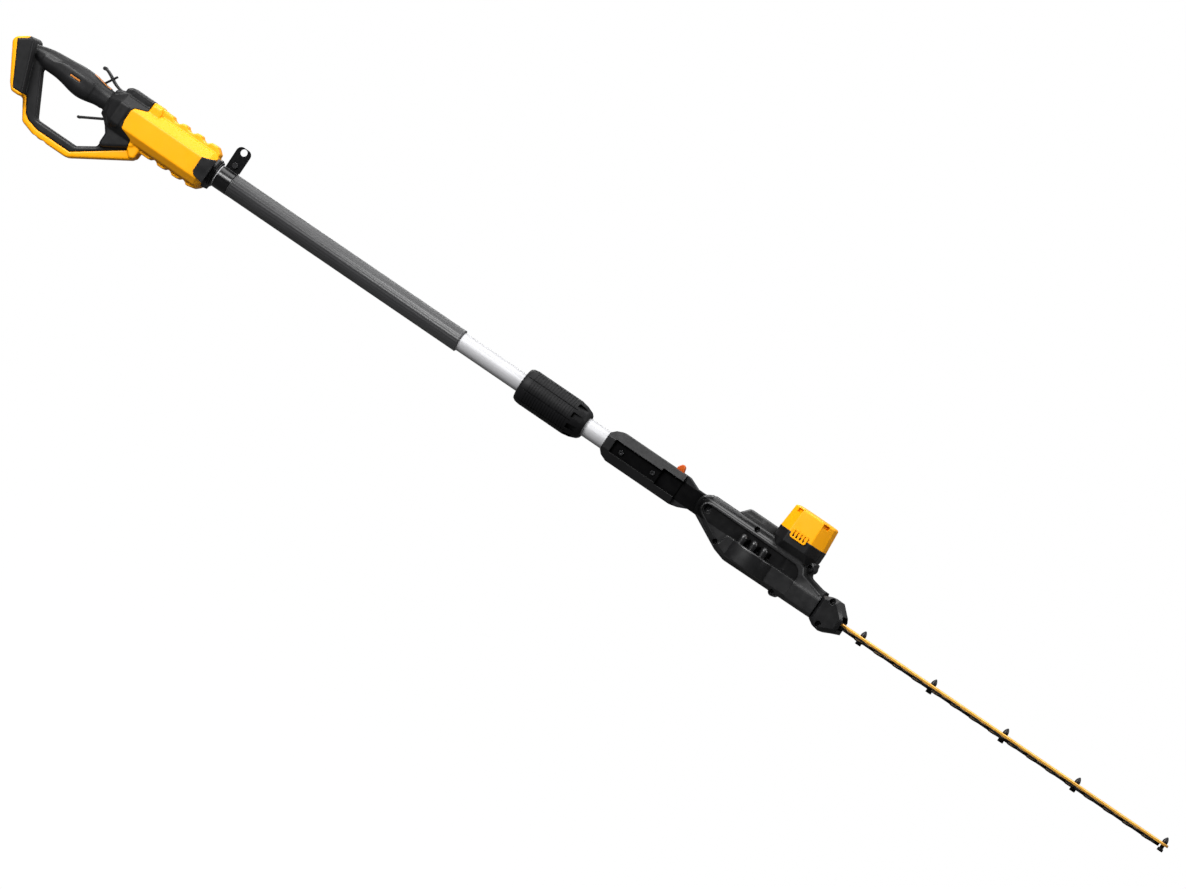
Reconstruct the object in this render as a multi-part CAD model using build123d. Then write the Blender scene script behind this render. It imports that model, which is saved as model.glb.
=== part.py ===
"""Pole hedge trimmer with an articulated head, as one STEP file per separate piece, in millimetres.

Frame: +X runs along the pole towards the blade tip, +Z points to the motor side and +Y to the tool's left.
The origin is on the pole's axis, inside the fore grip.
"""

import os
from math import acos, atan2, cos, degrees, pi, radians, sin, tan

from build123d import *

# ---------------------------------------------------------------- driving dimensions
RUN = 0.05  # radial running clearance of a shaft in its hole
GAP = 0.3  # clearance between pieces that slide past each other

POLE_R = 14.0
POLE_WALL = 1.5
POLE_BORE = POLE_R - POLE_WALL
FORE_GRIP_R = 17.0
FORE_GRIP_START = -207.5
FORE_GRIP_END = 188.0

# Rear handle, side view (x, z)
SHELL = 3.0  # wall of the moulded shells
FOOT_HALF_W = 38.0
FOOT_TILT = 59.5  # the battery face leans this far from the pole's axis
LOOP_HALF_W = 12.5
BODY_HALF_W = 31.0
BODY_REAR = -417.0
BODY_SHOULDER = -398.0
BODY_FRONT = -250.0
TRIGGER_PIVOT = (-400.0, -17.3)
LOCK_PIVOT = (-407.0, 21.5)

# Coupling between the two pole sections
COLLAR_START = 295.5
COLLAR_END = 403.5
COLLAR_R = 27.3
COLLAR_PANELS = 9
COLLAR_RIBS = 17
COLLAR_RIB_PITCH = 4.2
COUPLER_R = 21.8
SPIGOT_R = 16.2

# Articulating arm and head
ARM_START = 440.0
ARM_HALF_W = 21.0
NECK_HALF_W = 11.0
PIVOT_X = 616.3
PIVOT_Z = 2.0
PIVOT_BOSS_R = 20.6
CHEEK_HALF_W = 20.0
PANEL_HALF_W = 26.0
INDEX_R = 14.5
DETENTS = 7
DETENT_STEP = 30.0

# Drive: a pinion on the motor turns the gear that carries two opposed cams
MODULE = 1.0
GEAR_TEETH = 75
PINION_TEETH = 14
BACKLASH = 0.16
MOTOR_X = 748.5
MOTOR_HALF_W = 36.0
GEAR_X = MOTOR_X - MODULE * (GEAR_TEETH + PINION_TEETH) / 2
GEAR_CASE_R = 42.0
CAM_THROW = 6.0
CAM_R = 10.0
SHAFT_R = 5.0

# Cutter stack, from the top down
BAR_TOP = -25.0
BAR_T = 3.6
BLADE_T = 2.2
BLADE_GAP = 0.2
BAR_START = 772.0
BAR_END = 1418.5
BAR_HALF_W = 10.0
BLADE_HALF_W = 13.0
TOOTH_REACH = 33.0
TOOTH_PITCH = 32.66
TEETH = 16
BLADE_BOLT_X = (895.5, 1016.0, 1138.8, 1261.5, 1411.0)
BLADE_BOLT_R = 3.0
BAR_SCREW_X = (790.0, 812.0)
FIRST_TOOTH_X = 880.0
BLADE_END = 1406.0


# ---------------------------------------------------------------- building blocks
def side_face(points, radii=0.0):
    """Face in the XZ plane through (x, z) points, with each corner rounded."""
    outline = FilletPolyline(*points, radius=radii, close=True) if radii else Polyline(*points, close=True)
    return Plane.XZ * make_face(outline)


def slab(face, y0, y1):
    """An XZ face made solid from y0 to y1."""
    return extrude(Pos(0, y0, 0) * face, amount=y1 - y0, dir=(0, 1, 0))


def rounded_slab(points, radii, half_w, edge_r):
    """A slab centred on Y = 0 with its two outlines rounded off."""
    body = slab(side_face(points, radii), -half_w, half_w)
    rims = body.edges().filter_by(lambda e: abs(abs(e.center().Y) - half_w) < 1e-3)
    return fillet(rims, edge_r)


def bevelled_slab(points, half_w, bevel):
    """A slab centred on Y = 0 with sharp corners and its two outlines chamfered."""
    body = slab(side_face(points), -half_w, half_w)
    rims = body.edges().filter_by(lambda e: abs(abs(e.center().Y) - half_w) < 1e-3)
    return chamfer(rims, bevel)


def box(x0, x1, y0, y1, z0, z1):
    return Pos((x0 + x1) / 2, (y0 + y1) / 2, (z0 + z1) / 2) * Box(x1 - x0, y1 - y0, z1 - z0)


def rod_x(x0, x1, r, y=0.0, z=0.0):
    return Pos((x0 + x1) / 2, y, z) * Rot(0, 90, 0) * Cylinder(r, x1 - x0)


def rod_y(y0, y1, r, x=0.0, z=0.0):
    return Pos(x, (y0 + y1) / 2, z) * Rot(90, 0, 0) * Cylinder(r, y1 - y0)


def rod_z(z0, z1, r, x=0.0, y=0.0):
    return Pos(x, y, (z0 + z1) / 2) * Cylinder(r, z1 - z0)


def tube_x(x0, x1, r_out, r_in):
    return rod_x(x0, x1, r_out) - rod_x(x0 - 1, x1 + 1, r_in)


def across(x, z=0.0):
    """Plane across the pole at x, with its local axes along +Y and +Z."""
    return Plane(origin=(x, 0, z), x_dir=(0, 1, 0), z_dir=(1, 0, 0))


def octagon(x, half_w, top, bottom, side_top, side_bottom, crown_w, keel_w, radius):
    """Eight-sided section across the pole, at x."""
    points = [
        (half_w, side_top),
        (crown_w, top),
        (-crown_w, top),
        (-half_w, side_top),
        (-half_w, side_bottom),
        (-keel_w, bottom),
        (keel_w, bottom),
        (half_w, side_bottom),
    ]
    return across(x) * make_face(FilletPolyline(*points, radius=radius, close=True))


def oval(x, half_w, top, bottom, radius):
    """Rounded rectangle across the pole, at x."""
    face = RectangleRounded(2 * half_w, top - bottom, radius)
    return across(x, (top + bottom) / 2) * face


def half(shape, side):
    """The part of a shape with Y above 0 (side +1) or below 0 (side -1)."""
    reach = 2000
    y0, y1 = sorted((0, side * reach))
    return shape & box(-reach, reach, y0, y1, -reach, reach)


def wire(points, bend_r, r):
    """A cable of radius r along rounded straight runs."""
    path = FilletPolyline(*points, radius=bend_r)
    start = Plane(origin=path @ 0, z_dir=path % 0)
    return sweep(start * Circle(r), path=path)


def coil(x0, x1, mean_r, wire_r, turns, y=0.0, z=0.0):
    """A compression spring along X."""
    path = Helix(pitch=(x1 - x0) / turns, height=x1 - x0, radius=mean_r)
    spring = sweep(Plane(origin=path @ 0, z_dir=path % 0) * Circle(wire_r), path=path)
    return Pos(x0, y, z) * Rot(0, 90, 0) * spring


def pan_screw_y(x, z, shank_r, head_r, head_h, seat_y, tip_y):
    """A screw along Y: its head stands on seat_y and its tip is at tip_y."""
    out = 1 if seat_y > tip_y else -1
    head = rod_y(min(seat_y, seat_y + out * head_h), max(seat_y, seat_y + out * head_h), head_r, x, z)
    socket_y = seat_y + out * head_h
    socket_end = socket_y - out * 1.4
    socket = rod_y(min(socket_y, socket_end), max(socket_y, socket_end), head_r * 0.45, x, z)
    return rod_y(min(seat_y, tip_y), max(seat_y, tip_y), shank_r, x, z) + head - socket


# ---------------------------------------------------------------- rear handle
FOOT_PLANE = Plane(
    origin=(-561.5, 0, -27.5),
    x_dir=(-cos(radians(FOOT_TILT)), 0, sin(radians(FOOT_TILT))),
    z_dir=(-sin(radians(FOOT_TILT)), 0, -cos(radians(FOOT_TILT))),
)
FOOT_OUTLINE = [(-577.5, -2), (-573, 5), (-556, 16.5), (-549.5, 13), (-519.5, -64), (-538, -64), (-546, -55)]
FOOT_RADII = [8, 6, 6, 6, 5, 7, 5]
FOOT_EDGE_R = 4.0
LOOP_OUTER = [
    (-553, 8),
    (-541, -60),
    (-522.5, -65),
    (-505, -92),
    (-480, -99.5),
    (-424, -99.5),
    (-342.5, -49.5),
    (-339.5, -28),
    (-339.5, 5),
]
LOOP_OUTER_RADII = [2, 3, 2, 10, 10, 14, 6, 3, 1]
LOOP_OPENING = [
    (-521.5, -8),
    (-521.5, -17),
    (-489, -77.8),
    (-421.5, -78),
    (-396, -61.5),
    (-395.2, -40),
    (-404, -31),
    (-414, -21),
    (-416, -8),
]
LOOP_OPENING_RADII = [1, 3, 6, 6, 4, 2, 4, 3, 1]
HUMP_OUTLINE = [
    (-417, 12),
    (-416.5, 20),
    (-409, 24.5),
    (-404.5, 25),
    (-404.5, 31),
    (-397.5, 35.8),
    (-343, 35.8),
    (-341, 12),
]
BLACK_REGION = [
    (-571, 2),
    (-557.5, 11.5),
    (-555, 60),
    (-360.5, 60),
    (-360.5, 19),
    (-377.5, 13),
    (-380.5, 7),
    (-380.5, -8.5),
    (-377.5, -20.5),
    (-359.5, -27),
    (-357, -42.5),
    (-424, -90),
    (-480, -90),
    (-498, -85.5),
    (-506, -80),
    (-519.5, -58.5),
    (-538, -59),
]
GRIP_STATIONS = [
    # x, half width, top, bottom, corner radius
    (-556, 15, 10, -12, 9),
    (-530, 15.5, 15, -13, 11),
    (-503, 16.5, 18.5, -14.5, 13),
    (-477, 18.2, 21, -19, 15),
    (-458, 18.6, 21, -20.5, 15.5),
    (-440, 17, 18.2, -17, 14),
    (-424, 16.3, 16.2, -15.5, 13),
    (-404, 16.3, 16, -16, 13),
]
PAD_STAND = 0.9  # how far the soft pads stand off the skin
GRIP_PAD = [(-529, 4), (-512, 4), (-498, 11), (-449, 10), (-444, 5), (-447, -30), (-529, -30)]
SHOULDER_PAD = [(-413, -3), (-409, 8), (-401, 13), (-384, 13), (-384, -25), (-401, -25), (-409, -14)]
HANDLE_SCREWS = [
    # x, z, half width of the shell there
    (-516, -46, LOOP_HALF_W),
    (-478, -84, LOOP_HALF_W),
    (-432, -84, LOOP_HALF_W),
    (-372, -36, 20.0),
    (-330, -12, BODY_HALF_W),
    (-285, -12, BODY_HALF_W),
]
SCREW_SHANK_R = 1.5
SCREW_HEAD_R = 3.2


def grip_loft(inset):
    sections = []
    for x, half_w, top, bottom, radius in GRIP_STATIONS:
        sections.append(oval(x, half_w - inset, top - inset, bottom + inset, max(radius - inset, 2)))
    return loft(sections)


def body_octagon(x, inset, scale=1.0):
    return octagon(
        x,
        (BODY_HALF_W - inset) * scale,
        (24 - inset) * scale,
        (-30 + inset) * scale,
        (10 - inset * 0.4) * scale,
        (-20 + inset * 0.4) * scale,
        (19 - inset * 0.5) * scale,
        (21 - inset * 0.5) * scale,
        3,
    )


def body_core(inset):
    """The front body: a shoulder that swells out of the grip, a long eight-sided barrel and a short taper."""
    shoulder = loft([body_octagon(BODY_REAR + inset, inset, 0.66), body_octagon(BODY_SHOULDER, inset)])
    barrel = extrude(body_octagon(BODY_SHOULDER, inset), amount=BODY_FRONT - BODY_SHOULDER, dir=(1, 0, 0))
    taper = loft([body_octagon(BODY_FRONT, inset), body_octagon(-240.5, inset, 0.84)])
    return shoulder + barrel + taper


def soft_pads():
    """Slightly proud pads on the grip's flanks and on the shoulder's sides."""
    grip_pad = grip_loft(-PAD_STAND) & slab(side_face(GRIP_PAD, 3), 9, 40)
    shoulder_pad = body_core(-PAD_STAND) & slab(side_face(SHOULDER_PAD, 3.5), 14, 60)
    pads = grip_pad + shoulder_pad
    return pads + mirror(pads, about=Plane.XZ)


def foot_scallops():
    """Shallow finger scallops in the underside of the loop, behind the face it rests on."""
    cuts = None
    for x in (-492, -478, -464):
        cut = rod_y(-20, 20, 10, x, -108.2)
        cuts = cut if cuts is None else cuts + cut
    return cuts


def finger_ribs():
    """Scalloped ribs along the top and the bottom of the yellow body."""
    top = [(-356, 20), (-343, 35), (-338, 34), (-251.5, 34), (-242.5, 26.5), (-242.5, 20)]
    keel = [(-345, -26), (-343, -36), (-257, -36), (-248.5, -34), (-241.5, -27.5), (-241.5, -24)]
    ribs = rounded_slab(top, [0, 3, 3, 4, 3, 0], 15, 1.8) + rounded_slab(keel, [0, 3, 5, 5, 3, 0], 15, 1.8)
    for x in (-319.5, -295, -270.5):
        ribs -= rod_y(-20, 20, 10, x, 39.0)
        ribs -= rod_y(-20, 20, 9, x + 3, -41.0)
    return ribs


def handle_solid():
    foot = rounded_slab(FOOT_OUTLINE, FOOT_RADII, FOOT_HALF_W, FOOT_EDGE_R)
    loop = slab(side_face(LOOP_OUTER, LOOP_OUTER_RADII), -LOOP_HALF_W, LOOP_HALF_W)
    loop -= slab(side_face(LOOP_OPENING, LOOP_OPENING_RADII), -LOOP_HALF_W - 1, LOOP_HALF_W + 1)
    rims = loop.edges().filter_by(lambda e: abs(abs(e.center().Y) - LOOP_HALF_W) < 1e-3)
    loop = fillet(rims, 4.0) - foot_scallops()
    shin_outline = [(-406, -18), (-403, -30), (-395.5, -40), (-395.5, -62), (-350, -34), (-350, -18)]
    shin = rounded_slab(shin_outline, [1, 4, 2, 5, 6, 1], 20, 4.0)
    hump = rounded_slab(HUMP_OUTLINE, [0, 3, 3, 0, 5, 5, 6, 0], 17, 2.5)
    saddle_outline = [(-360, 8), (-360, 30), (-357, 33), (-345, 33), (-341, 26), (-341, 8)]
    saddle = rounded_slab(saddle_outline, [0, 2, 2, 3, 3, 0], 23, 3)
    knee_outline = [(-358, -22), (-358, -40), (-348, -50), (-341, -47), (-340, -22)]
    knee = rounded_slab(knee_outline, [0, 2, 5, 5, 0], 18, 3.0)
    grip_and_body = grip_loft(0) + body_core(0) + finger_ribs() + soft_pads()
    return foot + loop + grip_and_body + shin + hump + saddle + knee


def hump_grooves():
    """Shallow rounded outline pressed into each side of the hump."""
    frame_outer = side_face([(-396, 23), (-396, 32.6), (-363, 32.6), (-363, 23)], 3.5)
    frame_inner = side_face([(-394.6, 24.4), (-394.6, 31.2), (-364.4, 31.2), (-364.4, 24.4)], 2.2)
    groove = slab(frame_outer, 16.1, 20) - slab(frame_inner, 16, 21)
    return groove + mirror(groove, about=Plane.XZ)


def handle_hollows():
    """Everything cut out of the handle: wiring space, battery pocket, trigger slots and screw holes."""
    loop_core = side_face(LOOP_OUTER, LOOP_OUTER_RADII) - side_face(LOOP_OPENING, LOOP_OPENING_RADII)
    loop_core = offset(loop_core, amount=-4.0)
    loop_void = slab(loop_core, -LOOP_HALF_W + 3.5, LOOP_HALF_W - 3.5) - box(-600, -510, -50, 50, -200, 200)
    barrel = extrude(body_octagon(-399, SHELL), amount=137.2, dir=(1, 0, 0))
    barrel += box(-406, -397, -9, 9, -9, 13)
    grip_void = grip_loft(SHELL) - box(-600, -543, -50, 50, -60, 60)
    shin_void = slab(side_face([(-391, -20), (-391, -45), (-374.2, -45), (-362, -37), (-362, -20)]), -16, 16)
    void = barrel + grip_void + loop_void + shin_void
    # battery pocket with its two undercut grooves, open at the top end
    void += FOOT_PLANE * Pos(8, 0, -4) * Box(62, 54, 14)
    void += FOOT_PLANE * Pos(8, 0, -8) * Box(62, 63, 6)
    # trigger slot, lock-off post slot and lock-off lever mouth
    void += box(-424, -398, -8.5, 8.5, -34, -11)
    void += box(-447, -429, -4.5, 4.5, 8, 24)
    void += box(-424, -396, -9.5, 9.5, 15.5, 29)
    void += rod_y(-14.1, 14.1, 2.0 + RUN, *TRIGGER_PIVOT) + rod_y(-14.1, 14.1, 1.6 + RUN, *LOCK_PIVOT)
    return void


def handle_bosses():
    """Screw posts that join the two halves."""
    posts = None
    for x, z, half_w in HANDLE_SCREWS:
        post = rod_y(2 - half_w, half_w - 2, 4.4, x, z)
        posts = post if posts is None else posts + post
    return posts


def screw_holes():
    holes = None
    for x, z, half_w in HANDLE_SCREWS:
        seat = half_w - 4.5
        hole = rod_y(-half_w + 3.5, seat, SCREW_SHANK_R + RUN, x, z)
        hole += rod_y(seat, half_w + 3, SCREW_HEAD_R + 0.4, x, z)
        holes = hole if holes is None else holes + hole
    return holes


def handle_screws():
    screws = []
    for x, z, half_w in HANDLE_SCREWS:
        seat = half_w - 4.5
        screws.append(pan_screw_y(x, z, SCREW_SHANK_R, SCREW_HEAD_R, 2.4, seat + 0.02, -half_w + 4.5))
    return Compound(children=screws)


ACCENT_SIDE = (-483.0, -466.0, 0.0, 2.2)
INLAY_STAND = 0.35
INLAY_DEPTH = 1.6


def grip_accents(grow=0.0):
    """Orange inlays: a bar on each side of the grip and a plate under the lock-off lever."""
    x0, x1, z0, z1 = ACCENT_SIDE
    pieces = []
    for side in (-1, 1):
        bar = Pos(0, 0, (z0 + z1) / 2) * box(x0 - grow, x1 + grow, 16.4 - grow, 22, -1.1 - grow, 1.1 + grow)
        pieces.append(mirror(bar, about=Plane.XZ) if side < 0 else bar)
    plate = box(-456 - grow, -425 + grow, -7 - grow, 7 + grow, 15.0, 26)
    return pieces, plate


def accents_node():
    """The inlays, trimmed flush with the grip's skin plus a small stand-out."""
    bars, plate = grip_accents()
    pieces = [bar & grip_loft(-PAD_STAND - INLAY_STAND) for bar in bars]
    plate &= grip_loft(-INLAY_STAND)
    pieces.append(plate - grip_loft(INLAY_DEPTH) - box(-447.5, -428.5, -4.8, 4.8, 0, 40))
    return Compound(children=[s for p in pieces for s in p.solids()])


def handle_nodes():
    whole = handle_solid() - handle_hollows() + handle_bosses()
    whole -= screw_holes()
    whole -= body_tube_socket() + hump_grooves()
    black = slab(side_face(BLACK_REGION), -80, 80)
    bars, plate = grip_accents(grow=0.08)
    skin_band = grip_loft(-3) - grip_loft(INLAY_DEPTH + 0.1)
    grip = whole & black
    for bar in bars:
        grip -= bar
    grip -= plate & skin_band
    shell = whole - black
    return {
        "overmould_left": half(grip, 1),
        "overmould_right": half(grip, -1),
        "housing_left": half(shell, 1),
        "housing_right": half(shell, -1),
    }


def body_tube_socket():
    """Room for the pole and for the nose collar's neck at the front of the body."""
    return rod_x(-262, -236, 18.5) + rod_x(-266, -230, POLE_R + GAP)


def nose_collar():
    """Black collar that closes the body and grips the pole, with two cheek plates over the body's flats."""
    bezel = extrude(body_octagon(-240.3, 0, 0.84), amount=3.8, dir=(1, 0, 0)) - rod_x(-250, -230, 16.5)
    rings = [
        (-261.5, POLE_R + RUN),
        (-261.5, 18.2),
        (-238, 18.2),
        (-238, 21.5),
        (-235.4, 21.5),
        (-234.6, 20.5),
        (-234.6, 18.8),
        (-233.8, 18.8),
        (-233.8, 19.6),
        (-232.4, 19.6),
        (-231.4, 17.5),
        (-231.4, POLE_R + RUN),
    ]
    collar = bezel + revolve(Plane.XZ * make_face(Polyline(*rings, close=True)), axis=Axis.X)
    cheek_outline = [(-259, -13), (-259, 10), (-247, 14), (-238.6, 18)]
    cheek_outline += [(-238.6, -21), (-247, -19), (-255.5, -17)]
    cheek_y = BODY_HALF_W + 2.2
    for side in (-1, 1):
        inner, outer = sorted((side * (BODY_HALF_W + 0.05), side * cheek_y))
        collar += slab(side_face(cheek_outline), inner, outer)
        inner, outer = sorted((side * 20, side * (cheek_y - 0.6)))
        collar += box(-240.2, -238.8, inner, outer, -16, 12)
    return collar


def battery_terminals():
    """Terminal block at the bottom of the battery pocket, with its blades."""
    block = FOOT_PLANE * Pos(-4, 0, -9.0) * Box(30, 30, 3.8)
    for y in (-11, -5.5, 0, 5.5, 11):
        block += FOOT_PLANE * Pos(-2, y, -4.6) * Box(18, 0.9, 5.2)
    return block


def trigger():
    """Thin finger lever on a hub inside the body, with a nose that works the switch."""
    px, pz = TRIGGER_PIVOT
    blade = Pos(px, 0, pz) * Rot(0, -29.2, 0) * Pos(-25.5, 0, -1.0) * Box(47, 13, 3.2)
    tail = Pos(px, 0, pz) * Rot(0, -29.2, 0) * Pos(-49, 0, -1.0) * Rot(90, 0, 0) * Cylinder(2.1, 13)
    hub = rod_y(-7.5, 7.5, 5.0, px, pz)
    nose = box(px - 2.2, px + 2.2, -4, 4, pz + 1, pz + 12)
    return hub + blade + tail + nose - rod_y(-10, 10, 2.0 + RUN, px, pz)


def lock_off_lever():
    """Palm lever over the grip, with the post that frees the trigger when it is pressed."""
    px, pz = LOCK_PIVOT
    arc = Spline((px, pz + 1), (-414.5, 22.3), (-427.5, 26.3), (-437.5, 31.6), (-449, 35.6))
    lever = slab(Plane.XZ * trace(arc, 3.2), -7.5, 7.5)
    lever += rod_y(-7.5, 7.5, 2.7, -449.2, 35.3)
    lever += rod_y(-7.5, 7.5, 3.6, px, pz)
    post = Pos(-433, 0, 26.6) * Rot(0, 30, 0) * Box(2.4, 7, 20)
    return lever + post - rod_y(-10, 10, 1.6 + RUN, px, pz)


def switch_module():
    """Variable-speed switch with its plunger."""
    case = box(-391, -362, -11, 11, -9, 17)
    case = fillet(case.edges().filter_by(Axis.Y), 2)
    return case + rod_x(-394.6, -390.9, 3, 0, -6) + box(-380, -370, -6, 6, 17, 20)


def control_board():
    board = box(-352, -300, -21, -19.4, -6, 14)
    for x in (-342, -328, -312):
        board += box(x - 4, x + 4, -19.4, -14, -2, 8)
    return board


def handle_harness():
    """Cables from the battery terminals through the grip to the switch and on to the pole."""
    rear = wire([(-541, 0, -3), (-520, 0, 2), (-470, 0, 0), (-412, 0, 2), (-391.5, 0, 6)], 9, 1.8)
    front_path = [(-360.5, 0, 4), (-345, -4, 6), (-300, -2, 8), (-262, 0, 3), (-150, 0, 0), (317, 0, 0)]
    front = wire(front_path, 9, 2.2)
    return Compound(children=[rear, front])


# ---------------------------------------------------------------- pole
def fore_grip():
    sleeve = tube_x(FORE_GRIP_START, FORE_GRIP_END, FORE_GRIP_R, POLE_R + RUN)
    ends = sleeve.edges().filter_by(GeomType.CIRCLE).filter_by(lambda e: abs(e.radius - FORE_GRIP_R) < 0.01)
    return fillet(ends, 1.2)


HANGER_X = -217.5
HANGER_BAND_R = 15.4
EYE_Z = 47.0
EYE_R = 5.2
EAR_OUTLINE = [(-228.5, 14), (-229, 53.3), (-206, 53.3), (-206, 18), (-208.3, 17.2), (-208.3, 14)]


def hanger_clamp():
    """Bent steel strip: a band round the pole and two ears, the longer one with the strap eye."""
    band = tube_x(-230, -208, FORE_GRIP_R, HANGER_BAND_R) - box(-240, -200, -0.8, 0.8, 5, 30)
    tall = slab(side_face(EAR_OUTLINE, [0, 8, 8, 0.5, 0.5, 0]), -3.4, -0.8)
    short = slab(side_face([(-227, 14), (-227, 33), (-208.3, 33), (-208.3, 14)], [0, 4, 4, 0]), 0.8, 3.4)
    clamp = band + tall + short - rod_x(-240, -200, HANGER_BAND_R)
    clamp -= rod_y(-6, 6, EYE_R, HANGER_X, EYE_Z)
    return clamp - rod_y(-6, 6, 2.5 + RUN, HANGER_X, 25.5)


def hanger_liner():
    return tube_x(-230, -208, HANGER_BAND_R - 0.02, POLE_R + RUN)


def hanger_bolt():
    """Hex bolt, and its nut, through the two ears."""
    bolt = rod_y(-3.4, 8.5, 2.5, HANGER_X, 25.5)
    head = Pos(HANGER_X, -5.2, 25.5) * Rot(90, 0, 0) * extrude(RegularPolygon(4.6, 6), amount=1.75, both=True)
    nut = Pos(HANGER_X, 5.45, 25.5) * Rot(90, 0, 0) * extrude(RegularPolygon(4.6, 6), amount=2.0, both=True)
    return bolt + head + nut


def coupling_collar():
    """Threaded sleeve, captive on the front pole section."""
    x0, x1 = COLLAR_START, COLLAR_END
    profile = [
        (x0, 22.3),
        (x0, 24.0),
        (x0 + 3.5, 26.2),
        (x0 + 10, COLLAR_R),
        (x0 + 84, COLLAR_R),
        (x0 + 95, 25.4),
        (x1 - 3, 21.5),
        (x1, 18.6),
        (x1, POLE_R + 0.8),
        (x1 - 14, POLE_R + 0.8),
        (x1 - 14, 22.3),
    ]
    body = revolve(Plane.XZ * make_face(Polyline(*profile, close=True)), axis=Axis.X)
    for i in range(COLLAR_RIBS):
        x = x0 + 14 + i * COLLAR_RIB_PITCH
        body -= tube_x(x, x + 1.4, COLLAR_R + 1, COLLAR_R - 0.45)
    for i in range(COLLAR_PANELS):
        angle = 20 + i * 360 / COLLAR_PANELS
        body -= Rot(angle, 0, 0) * box(x0 - 1, x1 + 1, -0.7, 0.7, COLLAR_R - 1.1, COLLAR_R + 3)
        notch = box(x0 + 86, x1 + 4, -4.2, 4.2, 22.5, 30)
        body -= Rot(angle + 180 / COLLAR_PANELS, 0, 0) * notch
    return body


def outer_coupler():
    """Socket on the end of the rear pole section, with a keyway and a coarse thread form."""
    body = tube_x(303, 366, COUPLER_R - 1.2, POLE_R + RUN)
    for x in (316, 326, 336, 346):
        body += tube_x(x, x + 5, COUPLER_R, COUPLER_R - 2)
    body -= rod_x(330, 370, SPIGOT_R + GAP)
    return body - box(340, 370, -3, 3, 12, COUPLER_R + 2)


def inner_coupler():
    """Spigot on the end of the front pole section, with its key and its thrust flange."""
    body = rod_x(336, 372, SPIGOT_R) + rod_x(367, 384, COUPLER_R - 0.4)
    body += box(342, 368, -2.6, 2.6, 12, COUPLER_R - 2.5)
    return body - rod_x(330, 390, POLE_R + RUN)


PIN_SPOTS = ((-6.0, -3.5), (6.0, -3.5), (0.0, 7.0))


def power_socket():
    body = rod_x(317.5, 329.5, POLE_BORE - RUN)
    for y, z in PIN_SPOTS:
        body -= rod_x(320, 331, 1.9, y, z)
    return body


def power_plug():
    body = rod_x(346, 358, POLE_BORE - RUN)
    for y, z in PIN_SPOTS:
        body += rod_x(322, 347, 1.5, y, z)
    return body


# ---------------------------------------------------------------- articulating arm
ARM_OUTLINE = [
    (ARM_START, 13.5),
    (446, 20),
    (455, 24),
    (567, 24),
    (585, 16.5),
    (PIVOT_X, 16.5),
    (PIVOT_X, -15),
    (588, -15),
    (572, -22),
    (564, -23.8),
    (455, -23.8),
    (445, -19.5),
    (ARM_START, -13.5),
]
ARM_RADII = [2, 3, 6, 8, 5, 0, 0, 5, 6, 6, 6, 4, 2]
ARM_CORNER_SCREWS = ((462.0, 18.0), (462.0, -18.0), (524.0, 18.0), (524.0, -18.0))
TUBE_SCREWS = ((468.5, -2.0), (521.0, -0.5))
TUBE_SCREW_R = 1.5


def arm_solid():
    """Two-part arm: flanges above and below, a recessed web and a flat neck with a round end."""
    body = slab(side_face(ARM_OUTLINE, ARM_RADII), -ARM_HALF_W, ARM_HALF_W)
    bevel = [(ARM_HALF_W, 9), (ARM_HALF_W, -9), (12.5, -25), (-12.5, -25)]
    bevel += [(-y, -z) for y, z in bevel]
    envelope = across(430) * make_face(FilletPolyline(*bevel, radius=1.5, close=True))
    body &= extrude(envelope, amount=230, dir=(1, 0, 0))
    recess_outline = [(453, -10), (453, 10), (531, 10), (531, 14)]
    recess_outline += [(564, 14), (564, -12), (531, -12), (531, -10)]
    recess = slab(side_face(recess_outline, 1.0), 16, 40)
    deep = slab(side_face([(531, -12), (531, 14), (564, 14), (564, -12)], 1.0), 12.5, 40)
    front = box(564, 660, NECK_HALF_W, 40, -60, 60)
    for cut in (recess, deep, front):
        body -= cut + mirror(cut, about=Plane.XZ)
    body += rod_y(-NECK_HALF_W, NECK_HALF_W, 15.6, PIVOT_X, PIVOT_Z)
    # rear mouth and cable way
    body -= rod_x(430, 528.2, POLE_R + RUN)
    body -= rod_x(520, 545, 5.0)
    # slot for the index plate, bore for the hub, guide for the plunger and the slider's window
    body -= rod_y(-2.4, 2.4, INDEX_R + 0.6, PIVOT_X, PIVOT_Z)
    body -= box(PIVOT_X, PIVOT_X + 20, -2.4, 2.4, -20, 24)
    body -= rod_y(-20, 20, 6.0 + RUN, PIVOT_X, PIVOT_Z)
    body -= box(530, 604, -2.4, 2.4, PIVOT_Z - 3.4, PIVOT_Z + 3.4)
    body -= box(533.5, 560.5, -5.5, 5.5, PIVOT_Z - 4.4, 30)
    return body


def arm_nodes():
    body = arm_solid()
    screws = []
    for x, z in ARM_CORNER_SCREWS:
        body -= rod_y(-12, 13, 1.4 + RUN, x, z) + rod_y(12.4, 25, 3.0, x, z)
        screws.append(pan_screw_y(x, z, 1.4, 2.7, 2.2, 12.42, -11))
    for x, z in TUBE_SCREWS:
        body -= rod_y(-20, -10, TUBE_SCREW_R + RUN, x, z)
        screws.append(pan_screw_y(x, z, TUBE_SCREW_R, 3.4, 2.2, -16.02, -11))
    return {
        "arm_left": half(body, 1),
        "arm_right": half(body, -1),
        "arm_screws": Compound(children=screws),
    }


def lower_tube():
    """Front pole section, drilled for the screws that hold it in the arm."""
    tube = tube_x(345, 528, POLE_R, POLE_BORE)
    for x, z in TUBE_SCREWS:
        tube -= rod_y(-20, -5, TUBE_SCREW_R + RUN, x, z)
    return tube


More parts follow.
